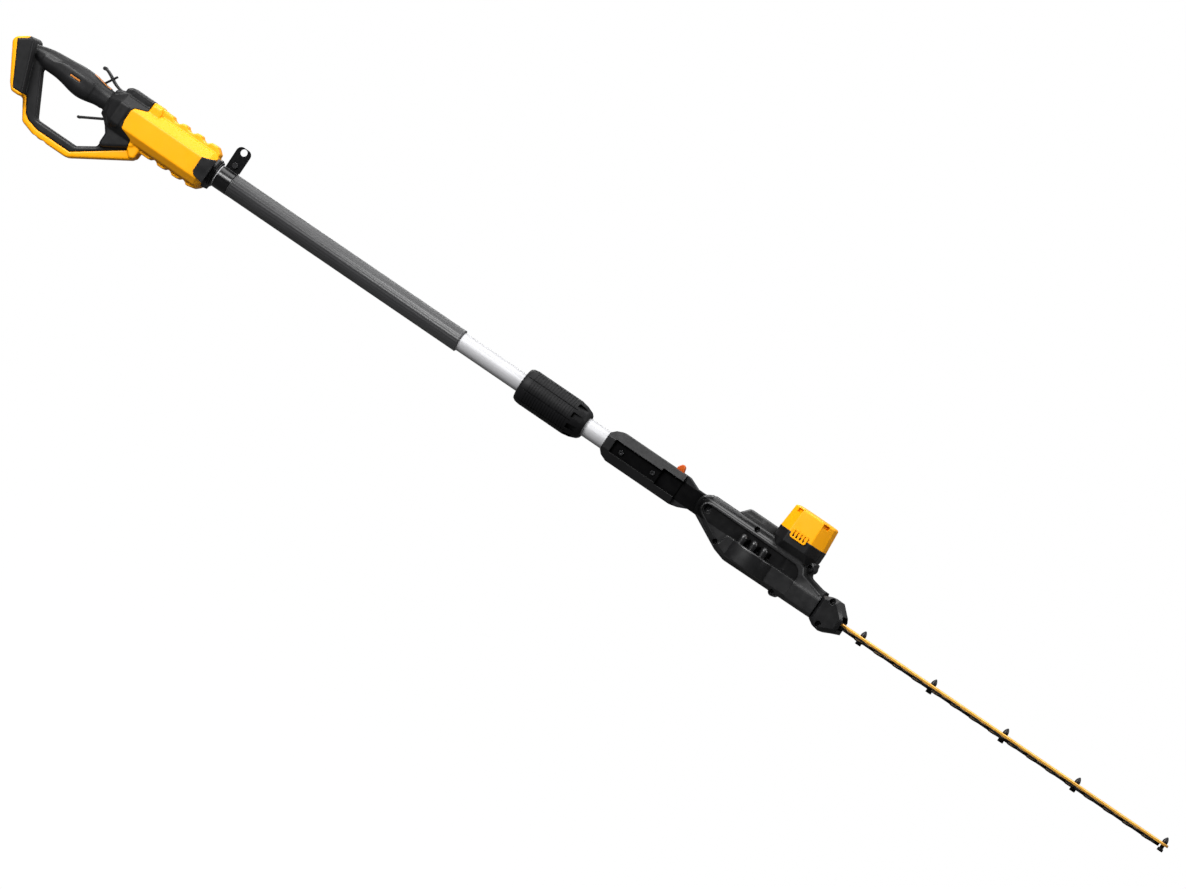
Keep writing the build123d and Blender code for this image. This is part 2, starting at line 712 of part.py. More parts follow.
def latch_slider():
    """Orange thumb slider that stands out of the arm's top flange."""
    button_outline = [(543, 17), (544.5, 28), (549, 34), (554, 32), (558, 17)]
    button = rounded_slab(button_outline, [0.5, 5, 3, 4, 0.5], 5.2, 1.5)
    stem = box(544, 556, -5.0, 5.0, PIVOT_Z + 3.6, 18)
    return button + stem


def latch_plunger():
    tip = PIVOT_X - INDEX_R - 0.35
    bar = box(545, tip, -2.1, 2.1, PIVOT_Z - 3.1, PIVOT_Z + 3.1)
    return bar + box(545, 555, -4.9, 4.9, PIVOT_Z - 3.1, PIVOT_Z + 3.5)


def latch_spring():
    return coil(534.5, 544.4, 2.3, 0.35, 5, 0, PIVOT_Z)


def index_plate():
    """Detent disc fixed to the head: seven notches over half a turn, and the hub the arm turns on."""
    plate = rod_y(-2.1, 2.1, INDEX_R, PIVOT_X, PIVOT_Z)
    for i in range(DETENTS):
        angle = radians(180 + (i - (DETENTS - 1) / 2) * DETENT_STEP)
        notch = Rot(0, -degrees(angle), 0) * Pos(INDEX_R, 0, 0) * Box(5.0, 6, 5.2)
        plate -= Pos(PIVOT_X, 0, PIVOT_Z) * notch
    hub = rod_y(-NECK_HALF_W - 0.35, NECK_HALF_W + 0.35, 6.0, PIVOT_X, PIVOT_Z)
    return plate + hub - rod_y(-20, 20, 3.5 + RUN, PIVOT_X, PIVOT_Z)


def pivot_bolt():
    bolt = rod_y(-CHEEK_HALF_W + 3.0, CHEEK_HALF_W - 5.4, 3.5, PIVOT_X, PIVOT_Z)
    head = rod_y(-CHEEK_HALF_W + 0.6, -CHEEK_HALF_W + 3.0, 5.2, PIVOT_X, PIVOT_Z)
    socket = rod_y(-CHEEK_HALF_W, -CHEEK_HALF_W + 2.2, 2.2, PIVOT_X, PIVOT_Z)
    hexagon = extrude(RegularPolygon(5.8, 6), amount=1.8, both=True)
    nut = Pos(PIVOT_X, CHEEK_HALF_W - 3.6, PIVOT_Z) * Rot(90, 0, 0) * hexagon
    return bolt + head + nut - socket


# ---------------------------------------------------------------- head
HEAD_OUTLINE = [
    (PIVOT_X - 6, 22.6),
    (786.5, 23.5),
    (788, 14),
    (784, 4),
    (820, -4),
    (820, -44.2),
    (673, -45.5),
    (654, -40),
    (606.8, -16.2),
    (606, 0),
]
HEAD_RADII = [1, 2, 4, 6, 2, 2, 14, 14, 1, 1]
PANEL_OUTLINE = [
    (603, 8),
    (610, 14.5),
    (618, 16),
    (770, 16),
    (778, 12),
    (783, 4),
    (820, -6),
    (820, -42.5),
    (675, -43.2),
    (657, -38),
    (609, -11),
    (602, -3),
]
PANEL_RECESS = [
    (609, -4),
    (608, 3),
    (612, 9),
    (618, 8.5),
    (764, 7),
    (771, 2),
    (775, -5),
    (775, -13),
    (660, -13),
    (656, -31),
]
PANEL_RECESS_RADII = [4, 3, 4, 6, 5, 3, 3, 1, 4, 4]
PANEL_RECESS_DEPTH = 1.5
HEAD_SCREWS = ((649.5, -30.0), (755.5, -43.8), (782.0, 14.5), (690.0, 17.0))


COLUMN_Z0 = 26.0  # the column is straight from here to the cap, and flares out of the head below
CAP_Z0 = 42.0


def motor_section(z, half_x, half_y, corner):
    """Eight-sided section round the motor's axis, at height z."""
    points = [
        (half_x, half_y - corner),
        (half_x - corner, half_y),
        (corner - half_x, half_y),
        (-half_x, half_y - corner),
        (-half_x, corner - half_y),
        (corner - half_x, -half_y),
        (half_x - corner, -half_y),
        (half_x, corner - half_y),
    ]
    return Pos(MOTOR_X, 0, z) * make_face(FilletPolyline(*points, radius=4, close=True))


def motor_base(inset, z0, z1):
    """Eight-sided column under the motor cap."""
    half_w = MOTOR_HALF_W - inset
    return extrude(motor_section(z0, half_w, half_w, 17.5 - 0.58 * inset), amount=z1 - z0, dir=(0, 0, 1))


def head_solid():
    flank = rounded_slab(HEAD_OUTLINE, HEAD_RADII, CHEEK_HALF_W, 2.5)
    boss = rod_y(-CHEEK_HALF_W, CHEEK_HALF_W, PIVOT_BOSS_R, PIVOT_X, PIVOT_Z)
    boss = fillet(boss.edges(), 2.5)
    panel = bevelled_slab(PANEL_OUTLINE, PANEL_HALF_W, 5.0)
    recess_face = side_face(PANEL_RECESS, PANEL_RECESS_RADII)
    recess = slab(recess_face, PANEL_HALF_W - PANEL_RECESS_DEPTH, PANEL_HALF_W + 1)
    panel -= recess + mirror(recess, about=Plane.XZ)
    case = fillet(rod_z(-39.5, -12.5, GEAR_CASE_R, GEAR_X).edges(), 2.0)
    column = motor_base(0, COLUMN_Z0, CAP_Z0)
    skirt_top = motor_section(COLUMN_Z0 + 0.2, MOTOR_HALF_W, MOTOR_HALF_W, 17.5)
    skirt = loft([motor_section(15, 33, 25.2, 10), skirt_top])
    skirt += extrude(motor_section(8, 33, 25.2, 10), amount=7.2, dir=(0, 0, 1))
    ledge_outline = [(654.5, 20), (654.5, 24), (664.5, 35.5), (720, 35.5), (720, 20)]
    ledge = rounded_slab(ledge_outline, [0, 1, 2, 0, 0], 13, 2.0)
    barrel_corners = [(27, -43), (27, -1.5), (-27, -1.5), (-27, -43)]
    barrel_face = make_face(FilletPolyline(*barrel_corners, radius=[5, 17, 17, 5], close=True))
    barrel = extrude(across(775) * barrel_face, amount=45, dir=(1, 0, 0))
    body = flank + boss + panel + case + column + skirt + ledge + barrel
    body += rod_y(-14, 14, 6.5, 755.5, -43.2) + rod_y(-19, 19, 7.0, 781.5, 13.5)
    # gussets between the panel and the shelf over the gear case
    for x in (682, 699.5, 717):
        gusset = rod_z(-13, -3, 5.6, x, 27) + Pos(x, 27, -3) * Sphere(5.6)
        body += gusset + mirror(gusset, about=Plane.XZ)
    return body


POCKET_Z = -36.4  # floor of the drive's round pocket
PLATE_HALF_W = 20.0


def head_hollows():
    void = motor_base(3, COLUMN_Z0 + 1.5, 60)
    void += rod_z(-9, COLUMN_Z0 + 2, 24.0, MOTOR_X)
    void += rod_z(-24, -15.2, 39.6, GEAR_X) + rod_z(-25.5, 10, 9.5, MOTOR_X)
    void += rod_z(-16, -8, 12, GEAR_X) + box(GEAR_X - 17, MOTOR_X + 18, -19.5, 19.5, -8.5, -4)
    void += rod_z(POCKET_Z, -23.5, 35, GEAR_X)
    plate_room = PLATE_HALF_W + 0.2
    void += rod_z(-42.2, POCKET_Z + 0.1, 34.9, GEAR_X) & box(600, 800, -plate_room, plate_room, -50, 0)
    # channel for the cutter stack and the screws that hold the guide bar
    void += box(GEAR_X - 20, 830, -22.5, 22.5, POCKET_Z + 0.1, -24.6)
    void += box(766, 830, -11.5, 11.5, -41.0, -14.5)
    # clevis slot, deeper below the pivot to let the arm fold down
    void += box(570, PIVOT_X + 17.6, -NECK_HALF_W - 0.4, NECK_HALF_W + 0.4, -60, 60)
    void += box(570, PIVOT_X + 27.5, -NECK_HALF_W - 0.4, NECK_HALF_W + 0.4, -60, -19)
    # pivot bolt seats
    void += rod_y(-30, 30, 3.5 + RUN, PIVOT_X, PIVOT_Z)
    void += rod_y(-30, -CHEEK_HALF_W + 3.0, 5.6, PIVOT_X, PIVOT_Z)
    void += rod_y(CHEEK_HALF_W - 5.5, 30, 6.4, PIVOT_X, PIVOT_Z)
    # wiring space behind the motor
    void += box(664, 724, -9, 9, 10, 31)
    # blind slots beside the gussets
    for x in (690.8, 708.2, 725.7):
        void += box(x - 1.6, x + 1.6, 21.8, 40, -9, -1) + box(x - 1.6, x + 1.6, -40, -21.8, -9, -1)
    return void


def head_screw_holes():
    holes = None
    for x, z in HEAD_SCREWS:
        hole = rod_y(-12.5, 12, 1.7 + RUN, x, z) + rod_y(-60, -12.4, 3.9, x, z)
        holes = hole if holes is None else holes + hole
    return holes


def head_screws():
    return Compound(children=[pan_screw_y(x, z, 1.7, 3.4, 2.6, -12.42, 11) for x, z in HEAD_SCREWS])


def head_nodes():
    body = head_solid() - head_hollows()
    for x, z in HEAD_SCREWS[:2] + HEAD_SCREWS[3:]:
        post = rod_y(-16, 16, 4.6, x, z) & slab(side_face(HEAD_OUTLINE), -16, 16)
        body += post
    body -= head_screw_holes()
    body -= box(570, PIVOT_X + 17.6, -NECK_HALF_W - 0.4, NECK_HALF_W + 0.4, -60, 60)
    return {"head_left": half(body, 1), "head_right": half(body, -1)}


def motor_cap():
    """Yellow cap: a drafted eight-sided shell with corner vents and a louvred tab on each side."""
    outer = extrude(motor_base(0.3, 42.05, 42.06).faces().sort_by(Axis.Z)[-1], amount=36.5, taper=4.5)
    outer = fillet(outer.edges().group_by(Axis.Z)[-1], 3.5)
    inner = extrude(motor_base(3.0, 42, 42.01).faces().sort_by(Axis.Z)[-1], amount=33.5, taper=4.5)
    cap = outer
    tab_face = side_face([(734, 35.5), (734, 49.5), (760, 49.5), (760, 35.5)], 3.0)
    root_face = side_face([(736, 42.06), (736, 47), (758, 47), (758, 42.06)])
    for side in (-1, 1):
        y0, y1 = sorted((side * 36.05, side * 37.6))
        inward = sorted((side * 30, side * 37.6))
        cap += slab(tab_face, y0, y1) + slab(root_face, *inward)
    cap -= inner
    for side in (-1, 1):
        for i in range(4):
            x = 738.6 + i * 5.6
            y0, y1 = sorted((side * 36.0, side * 40))
            cap -= box(x - 1.2, x + 1.2, y0, y1, 38, 47)
    for sx in (-1, 1):
        for sy in (-1, 1):
            corner = Pos(MOTOR_X, 0, 73.5) * Rot(0, 0, degrees(atan2(sy, sx))) * Pos(0, sx * sy * 4.6, 0)
            cap += corner * Pos(30.75, 0, 0) * Box(7.5, 15, 9)
            cap -= corner * Pos(37.5, 0, 0) * Box(12, 12, 6)
    return cap


def nose_guard():
    """Faceted block at the head's front, round the mouth of the cutter."""
    outline = [
        (820.2, -6.5),
        (832, -1.5),
        (845, -1.8),
        (860.5, -16.5),
        (863.5, -22),
        (863.5, -42),
        (850.5, -47.5),
        (840.5, -52.3),
        (829.5, -50.3),
        (820.2, -44.6),
    ]
    block = bevelled_slab(outline, 29, 5.0)
    block -= box(800, 870, -23.5, 23.5, -36.4, -24.6)
    block -= box(800, 856, -11.5, 11.5, -41.0, -14.5)
    wedge = slab(side_face([(846, -24), (864.5, -14), (864.5, -24)]), -24, 24)
    block -= wedge
    for z in (-6.5, -44.0):
        block -= rod_y(-40, -19, 4.4, 836.5, z) + rod_y(-20, 20, 1.7 + RUN, 836.5, z)
    return block


def nose_screws():
    return Compound(children=[pan_screw_y(836.5, z, 1.7, 3.6, 2.6, -19.02, 18) for z in (-6.5, -44.0)])


# ---------------------------------------------------------------- drive
def spur_gear(teeth, thickness, phase, bore_r):
    """Involute spur gear lying in XY, centred on the origin; phase turns it, in degrees."""
    pitch_r = MODULE * teeth / 2
    base_r = pitch_r * cos(radians(20))
    tip_r = pitch_r + MODULE
    root_r = pitch_r - 1.2 * MODULE
    inv = tan(radians(20)) - radians(20)
    half_tooth = pi / (2 * teeth) - BACKLASH / (2 * pitch_r) + inv
    start_r = max(base_r, root_r)
    flank = []
    for i in range(4):
        r = start_r + (tip_r - start_r) * i / 3
        a = acos(base_r / r)
        flank.append((r, half_tooth - (tan(a) - a)))

    def at(r, angle):
        return (r * cos(angle), r * sin(angle))

    tooth = [at(root_r - 0.4, flank[0][1])] + [at(r, a) for r, a in flank]
    tooth += [at(r, -a) for r, a in reversed(flank)] + [at(root_r - 0.4, -flank[0][1])]
    blank = Circle(root_r)
    tooth_face = make_face(Polyline(*tooth, close=True))
    profile = blank + [Rot(0, 0, phase + i * 360 / teeth) * tooth_face for i in range(teeth)]
    gear = extrude(profile, amount=thickness)
    return gear - Pos(0, 0, thickness / 2) * Cylinder(bore_r, thickness + 2)


GEAR_Z0 = -23.4
GEAR_T = 6.4
UPPER_Z0 = BAR_TOP - BAR_T - BLADE_GAP - BLADE_T
LOWER_Z0 = UPPER_Z0 - BLADE_GAP - BLADE_T


def cam_gear():
    """Large gear, its hub and the two opposed cams, on one shaft."""
    gear = spur_gear(GEAR_TEETH, GEAR_T, 0.0, SHAFT_R - 1)
    for i in range(6):
        a = radians(i * 60 + 30)
        gear -= Pos(24 * cos(a), 24 * sin(a), GEAR_T / 2) * Cylinder(6.5, 20)
    body = Pos(GEAR_X, 0, GEAR_Z0) * gear
    body += rod_z(UPPER_Z0 + BLADE_T + 0.2, GEAR_Z0 + 1, 9, GEAR_X)
    body += rod_z(UPPER_Z0 + 0.05, UPPER_Z0 + BLADE_T + 0.25, CAM_R, GEAR_X, CAM_THROW)
    body += rod_z(LOWER_Z0 - 0.05, LOWER_Z0 + BLADE_T - 0.05, CAM_R, GEAR_X, -CAM_THROW)
    return body + rod_z(-41.5, -9.2, SHAFT_R, GEAR_X)


def rotor():
    """Motor shaft with the pinion and the rotor core."""
    pinion = Pos(MOTOR_X, 0, GEAR_Z0 - 1) * spur_gear(PINION_TEETH, GEAR_T + 2, 180 / PINION_TEETH, 1.0)
    shaft = rod_z(GEAR_Z0 - 1, 62, 2.5, MOTOR_X)
    core = rod_z(8, 44, 13, MOTOR_X)
    fan = rod_z(52, 54, 8, MOTOR_X)
    for i in range(9):
        fan += Pos(MOTOR_X, 0, 55.5) * Rot(0, 0, i * 40) * Pos(12, 0, 0) * Box(12, 1.4, 5)
    return pinion + shaft + core + fan + rod_z(52, 53.4, 17.5, MOTOR_X)


def motor_can():
    """Motor case with end plates and a ring of windings."""
    case = rod_z(-3, 51, 23, MOTOR_X) - rod_z(0, 49.5, 21, MOTOR_X)
    stator = rod_z(10, 46, 21.2, MOTOR_X) - rod_z(5, 50, 13.6, MOTOR_X)
    for i in range(6):
        a = radians(i * 60)
        stator -= rod_z(5, 50, 2.6, MOTOR_X + 17 * cos(a), 17 * sin(a))
    case -= rod_z(-10, 60, 8.05, MOTOR_X)
    return case + stator


def ring_z(z0, z1, r_out, r_in, x):
    return rod_z(z0, z1, r_out, x) - rod_z(z0 - 1, z1 + 1, r_in, x)


def bearings():
    """Ball bearings of the motor shaft and of the cam shaft, as plain rings."""
    return Compound(
        children=[
            ring_z(-3, 2, 8.0, 2.5 + RUN, MOTOR_X),
            ring_z(46, 51, 8.0, 2.5 + RUN, MOTOR_X),
            ring_z(-13.2, -9.2, 9.0, SHAFT_R + RUN, GEAR_X),
            ring_z(-41.5, -37.5, 9.0, SHAFT_R + RUN, GEAR_X),
        ]
    )


def gear_case():
    """Cast carrier that holds the motor and the cam shaft's top bearing."""
    plate = box(GEAR_X - 16.6, MOTOR_X + 17.6, -19.1, 19.1, -8.3, -4.2)
    plate += rod_z(-14.2, -5, 11.6, GEAR_X)
    plate -= rod_z(-15, -9.1, 9.05, GEAR_X) + rod_z(-10, 0, 9.4, MOTOR_X)
    return plate


def base_plate():
    """Steel plate under the cutter stack, with the lower bearing's seat."""
    plate = rod_z(-42.0, -37.0, 34.5, GEAR_X) & box(600, 800, -PLATE_HALF_W, PLATE_HALF_W, -50, 0)
    return plate - rod_z(-43, -36.9, 9.05, GEAR_X)


# ---------------------------------------------------------------- cutter
def guide_bar():
    """Flat bar that carries both blades, bolted into the head at its rear."""
    z0 = BAR_TOP - BAR_T
    end = BAR_END - BAR_HALF_W
    bar = box(BAR_START, end, -BAR_HALF_W, BAR_HALF_W, z0, BAR_TOP) + rod_z(z0, BAR_TOP, BAR_HALF_W, end)
    bar = chamfer(bar.edges().group_by(Axis.Z)[-1], 0.8)
    for x in BLADE_BOLT_X + BAR_SCREW_X:
        bar -= rod_z(z0 - 1, BAR_TOP + 1, BLADE_BOLT_R + RUN, x)
    return bar


CAM_WINDOW_HALF = 16.6


def blade(z0, shift):
    """Double-sided toothed blade with a yoke at its rear that the cam drives."""
    spine = box(GEAR_X + 20, BLADE_END - 6, -BLADE_HALF_W, BLADE_HALF_W, z0, z0 + BLADE_T)
    spine += rod_z(z0, z0 + BLADE_T, BLADE_HALF_W - 4, BLADE_END - 9)
    yoke = box(GEAR_X - 26, GEAR_X + 26, -20.5, 20.5, z0, z0 + BLADE_T)
    yoke = fillet(yoke.edges().filter_by(Axis.Z), 11)
    window_x = (GEAR_X - 22.6, GEAR_X + 22.6)
    window = box(*window_x, -CAM_WINDOW_HALF, CAM_WINDOW_HALF, z0 - 1, z0 + BLADE_T + 1)
    window = fillet(window.edges().filter_by(Axis.Z), 9)
    body = spine + yoke - window
    for i in range(TEETH):
        x = FIRST_TOOTH_X + shift + i * TOOTH_PITCH
        if x > BLADE_END - 8:
            break
        tooth = [
            (x - 9.5, BLADE_HALF_W - 2),
            (x - 8.2, BLADE_HALF_W),
            (x - 3.6, TOOTH_REACH - 1.5),
            (x - 2.4, TOOTH_REACH),
            (x + 2.4, TOOTH_REACH),
            (x + 3.6, TOOTH_REACH - 1.5),
            (x + 8.2, BLADE_HALF_W),
            (x + 9.5, BLADE_HALF_W - 2),
        ]
        solid = extrude(Pos(0, 0, z0) * make_face(Polyline(*tooth, close=True)), amount=BLADE_T)
        body += solid + mirror(solid, about=Plane.XZ)
    slot_half = CAM_THROW + 0.4
    slot_r = BLADE_BOLT_R + GAP
    for x in BLADE_BOLT_X[:-1] + BAR_SCREW_X:
        body -= box(x - slot_half, x + slot_half, -slot_r, slot_r, z0 - 1, z0 + BLADE_T + 1)
        body -= rod_z(z0 - 1, z0 + BLADE_T + 1, slot_r, x - slot_half)
        body -= rod_z(z0 - 1, z0 + BLADE_T + 1, slot_r, x + slot_half)
    # the end bolt runs in an open-ended slot
    last = BLADE_BOLT_X[-1]
    body -= box(last - 9.8, last + 9, -slot_r, slot_r, z0 - 1, z0 + BLADE_T + 1)
    return body


def blade_bolts():
    """Bolts with pointed cap heads above the bar and pan nuts below the blades."""
    bolts = []
    low = LOWER_Z0 - 0.25
    for x in BLADE_BOLT_X:
        shank = rod_z(low, BAR_TOP, BLADE_BOLT_R, x)
        profile = [(0, 0), (4.1, 0), (4.1, 3.2), (2.9, 6.5), (0.9, 9.4), (0, 9.4)]
        cap = revolve(Plane.XZ * make_face(Polyline(*profile, close=True)), axis=Axis.Z)
        bolts.append(shank + Pos(x, 0, BAR_TOP) * cap + rod_z(low - 4.4, low, 4.4, x))
    for x in BAR_SCREW_X:
        screw = rod_z(low - 2.2, BAR_TOP + 2.2, BLADE_BOLT_R, x)
        bolts.append(screw + rod_z(low - 2.2, low, 4.4, x) + rod_z(BAR_TOP, BAR_TOP + 4, 4.4, x))
    return Compound(children=bolts)


def motor_leads():
    """Cable from the arm's end of the head to the motor."""
    return wire([(668, 0, 14), (690, 0, 26), (721.5, 0, 26), (722.8, 0, 40)], 5, 1.8)


def build():
    nodes = {
        **handle_nodes(),
        "nose_collar": nose_collar(),
        "battery_terminals": battery_terminals(),
        "handle_screws": handle_screws(),
        "grip_accents": accents_node(),
        "trigger": trigger(),
        "trigger_pin": rod_y(-14, 14, 2.0, *TRIGGER_PIVOT),
        "lock_off_lever": lock_off_lever(),
        "lock_off_pin": rod_y(-14, 14, 1.6, *LOCK_PIVOT),
        "switch_module": switch_module(),
        "control_board": control_board(),
        "handle_harness": handle_harness(),
        "upper_tube": tube_x(-261, 330, POLE_R, POLE_BORE),
        "fore_grip": fore_grip(),
        "hanger_clamp": hanger_clamp(),
        "hanger_liner": hanger_liner(),
        "hanger_bolt": hanger_bolt(),
        "outer_coupler": outer_coupler(),
        "power_socket": power_socket(),
        "coupling_collar": coupling_collar(),
        "inner_coupler": inner_coupler(),
        "power_plug": power_plug(),
        "lower_tube": lower_tube(),
        **arm_nodes(),
        "latch_slider": latch_slider(),
        "latch_plunger": latch_plunger(),
        "latch_spring": latch_spring(),
        "index_plate": index_plate(),
        "pivot_bolt": pivot_bolt(),
        **head_nodes(),
        "head_screws": head_screws(),
        "motor_cap": motor_cap(),
        "nose_guard": nose_guard(),
        "nose_screws": nose_screws(),
        "motor_can": motor_can(),
        "motor_leads": motor_leads(),
        "rotor": rotor(),
        "cam_gear": cam_gear(),
        "bearings": bearings(),
        "gear_case": gear_case(),
        "base_plate": base_plate(),
        "guide_bar": guide_bar(),
        "upper_blade": blade(UPPER_Z0, 0.0),
        "lower_blade": blade(LOWER_Z0, TOOTH_PITCH / 2),
        "blade_bolts": blade_bolts(),
    }
    os.makedirs("parts", exist_ok=True)
    for name, shape in nodes.items():
        export_step(shape, f"parts/{name}.step")


if __name__ == "__main__":
    build()
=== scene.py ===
"""Looks of the pole hedge trimmer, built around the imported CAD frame. Lengths are in metres."""

import math

import bmesh
import bpy
from mathutils import Matrix, Vector


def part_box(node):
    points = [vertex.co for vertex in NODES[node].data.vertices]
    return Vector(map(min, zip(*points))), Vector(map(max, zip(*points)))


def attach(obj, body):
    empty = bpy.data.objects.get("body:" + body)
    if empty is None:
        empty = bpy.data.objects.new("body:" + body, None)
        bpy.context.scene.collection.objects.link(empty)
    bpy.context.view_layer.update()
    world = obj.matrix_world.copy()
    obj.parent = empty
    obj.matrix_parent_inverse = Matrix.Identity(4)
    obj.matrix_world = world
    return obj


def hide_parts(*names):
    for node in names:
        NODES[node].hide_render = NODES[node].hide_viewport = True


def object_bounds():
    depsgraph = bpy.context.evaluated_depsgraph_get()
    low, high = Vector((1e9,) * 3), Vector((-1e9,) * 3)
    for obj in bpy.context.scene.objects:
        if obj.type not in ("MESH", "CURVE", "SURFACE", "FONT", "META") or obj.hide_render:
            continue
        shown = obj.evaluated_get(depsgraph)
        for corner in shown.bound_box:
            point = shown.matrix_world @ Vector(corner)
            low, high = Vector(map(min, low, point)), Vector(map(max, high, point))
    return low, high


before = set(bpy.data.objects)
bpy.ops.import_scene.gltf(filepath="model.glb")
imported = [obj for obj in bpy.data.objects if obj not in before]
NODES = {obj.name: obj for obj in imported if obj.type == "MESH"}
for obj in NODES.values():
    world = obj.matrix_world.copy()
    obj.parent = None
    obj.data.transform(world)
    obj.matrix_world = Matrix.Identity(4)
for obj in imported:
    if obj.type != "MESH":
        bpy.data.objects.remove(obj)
cad_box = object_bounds()
MM = 0.001


# ---------------------------------------------------------------- material building blocks
NOISE_SPAN = (0.3, 0.7)  # most values of a noise texture lie between these
SHADING_SAMPLES = 4  # rays of each bevel and occlusion node
EDGE_SPAN = (0.995, 0.8)  # cosine between a face and its bevelled normal, from flat to sharp edge
HOLLOW_REACH = 12 * MM  # how far from a wall the painted shade reaches
HOLLOW_SPAN = (0.35, 0.85)  # open share of the sky at which the painted shade is deepest, and at which it ends
WEB_SHADE = 0.2  # how much of its colour and shine a recessed web keeps under its painted shade
WEB_EDGE = 0.4 * MM  # width over which the web's painted shade fades out


class Shader:
    """A node material built step by step; every pattern uses object coordinates, which are in metres."""

    def __init__(self, name):
        self.material = bpy.data.materials.new(name)
        self.material.use_nodes = True
        self.tree = self.material.node_tree
        self.principled = self.tree.nodes["Principled BSDF"]
        self.coords = self.tree.nodes.new("ShaderNodeTexCoord").outputs["Object"]

    def node(self, kind, **settings):
        made = self.tree.nodes.new("ShaderNode" + kind)
        for key, value in settings.items():
            setattr(made, key, value)
        return made

    def link(self, source, target):
        self.tree.links.new(source, target)

    def stretched(self, scale):
        """Coordinates scaled by (x, y, z), for streaks and lines."""
        mapping = self.node("Mapping")
        mapping.inputs["Scale"].default_value = scale
        self.link(self.coords, mapping.inputs["Vector"])
        return mapping.outputs["Vector"]

    def noise(self, size, detail=3.0, rough=0.5, vector=None):
        """Noise whose features are about size metres across."""
        texture = self.node("TexNoise")
        texture.inputs["Scale"].default_value = 1.0 / size
        texture.inputs["Detail"].default_value = detail
        texture.inputs["Roughness"].default_value = rough
        self.link(vector or self.coords, texture.inputs["Vector"])
        return texture.outputs["Fac"]

    def brushed(self, size, streak):
        """Fine marks of a tool or a grinding belt, drawn out as streak says."""
        return self.noise(size, detail=4.0, rough=0.6, vector=self.stretched(streak))

    def cells(self, size, smoothness=0.6):
        """Rounded pebbles about size metres across."""
        texture = self.node("TexVoronoi", feature="SMOOTH_F1")
        texture.inputs["Scale"].default_value = 1.0 / size
        texture.inputs["Smoothness"].default_value = smoothness
        self.link(self.coords, texture.inputs["Vector"])
        return texture.outputs["Distance"]

    def remap(self, value, low, high, to_low=0.0, to_high=1.0):
        made = self.node("MapRange")
        made.inputs["From Min"].default_value = low
        made.inputs["From Max"].default_value = high
        made.inputs["To Min"].default_value = to_low
        made.inputs["To Max"].default_value = to_high
        self.link(value, made.inputs["Value"])
        return made.outputs["Result"]

    def spread(self, noise, low=0.0, high=1.0):
        """A noise socket spread over the whole range from low to high."""
        return self.remap(noise, *NOISE_SPAN, low, high)

    def math(self, operation, a, b=None):
        made = self.node("Math", operation=operation)
        for i, value in enumerate((a, b)):
            if value is None:
                continue
            if isinstance(value, (int, float)):
                made.inputs[i].default_value = value
            else:
                self.link(value, made.inputs[i])
        return made.outputs["Value"]

    def mix(self, factor, low, high):
        """Colour between two colours or colour sockets."""
        made = self.node("Mix", data_type="RGBA")
        self.link(factor, made.inputs["Factor"])
        for socket, value in ((made.inputs["A"], low), (made.inputs["B"], high)):
            if isinstance(value, tuple):
                socket.default_value = (*value, 1.0)
            else:
                self.link(value, socket)
        return made.outputs["Result"]

    def bevelled_normal(self, radius):
        bevel = self.node("Bevel", samples=SHADING_SAMPLES)
        bevel.inputs["Radius"].default_value = radius
        return bevel.outputs["Normal"]

    def edges(self, width):
        """1 on sharp edges within width metres, 0 on flat faces."""
        geometry = self.node("NewGeometry")
        dot = self.node("VectorMath", operation="DOT_PRODUCT")
        self.link(self.bevelled_normal(width), dot.inputs[0])
        self.link(geometry.outputs["Normal"], dot.inputs[1])
        return self.remap(dot.outputs["Value"], *EDGE_SPAN)

    def painted_hollow_shade(self, darkest):
        """Painted shade from occlusion: 1 in the open, falling to darkest deep inside recesses, slots and
        corners.
        """
        occlusion = self.node("AmbientOcclusion", samples=SHADING_SAMPLES)
        occlusion.inputs["Distance"].default_value = HOLLOW_REACH
        return self.remap(occlusion.outputs["AO"], *HOLLOW_SPAN, darkest, 1.0)

    def inner_faces(self, half_width, half_height):
        """1 on faces nearer than half_width to the middle plane and than half_height to the pole's axis."""
        split = self.node("SeparateXYZ")
        self.link(self.coords, split.inputs["Vector"])
        near = self.remap(self.math("ABSOLUTE", split.outputs["Y"]), half_width, half_width - WEB_EDGE)
        level = self.remap(self.math("ABSOLUTE", split.outputs["Z"]), half_height + WEB_EDGE, half_height)
        return self.math("MULTIPLY", near, level)

    def bump(self, height, depth, strength=1.0, rounding=0.4 * MM):
        """Relief of depth metres from a height socket, over edges rounded in the shading."""
        made = self.node("Bump")
        made.inputs["Distance"].default_value = depth
        made.inputs["Strength"].default_value = strength
        self.link(height, made.inputs["Height"])
        self.link(self.bevelled_normal(rounding), made.inputs["Normal"])
        self.link(made.outputs["Normal"], self.principled.inputs["Normal"])

    def set(self, **values):
        """Sets or links inputs of the Principled shader; an underscore stands for a space."""
        for key, value in values.items():
            socket = self.principled.inputs[key.replace("_", " ")]
            if isinstance(value, tuple):
                socket.default_value = (*value, 1.0)
            elif isinstance(value, (int, float)):
                socket.default_value = value
            else:
                self.link(value, socket)


# ---------------------------------------------------------------- materials
MACHINING_DEPTH = 0.01 * MM
MACHINED_ROUNDING = 0.3 * MM
METAL_WEAR = 0.5 * MM  # width of the worn edges of metal
LENGTHWISE = (0.03, 1.0, 1.0)  # marks drawn out along the tool
NO_STREAK = (1.0, 1.0, 1.0)


# a darker copy of a colour, for painted shade
def darkened(colour, share):
    return tuple(c * share for c in colour)


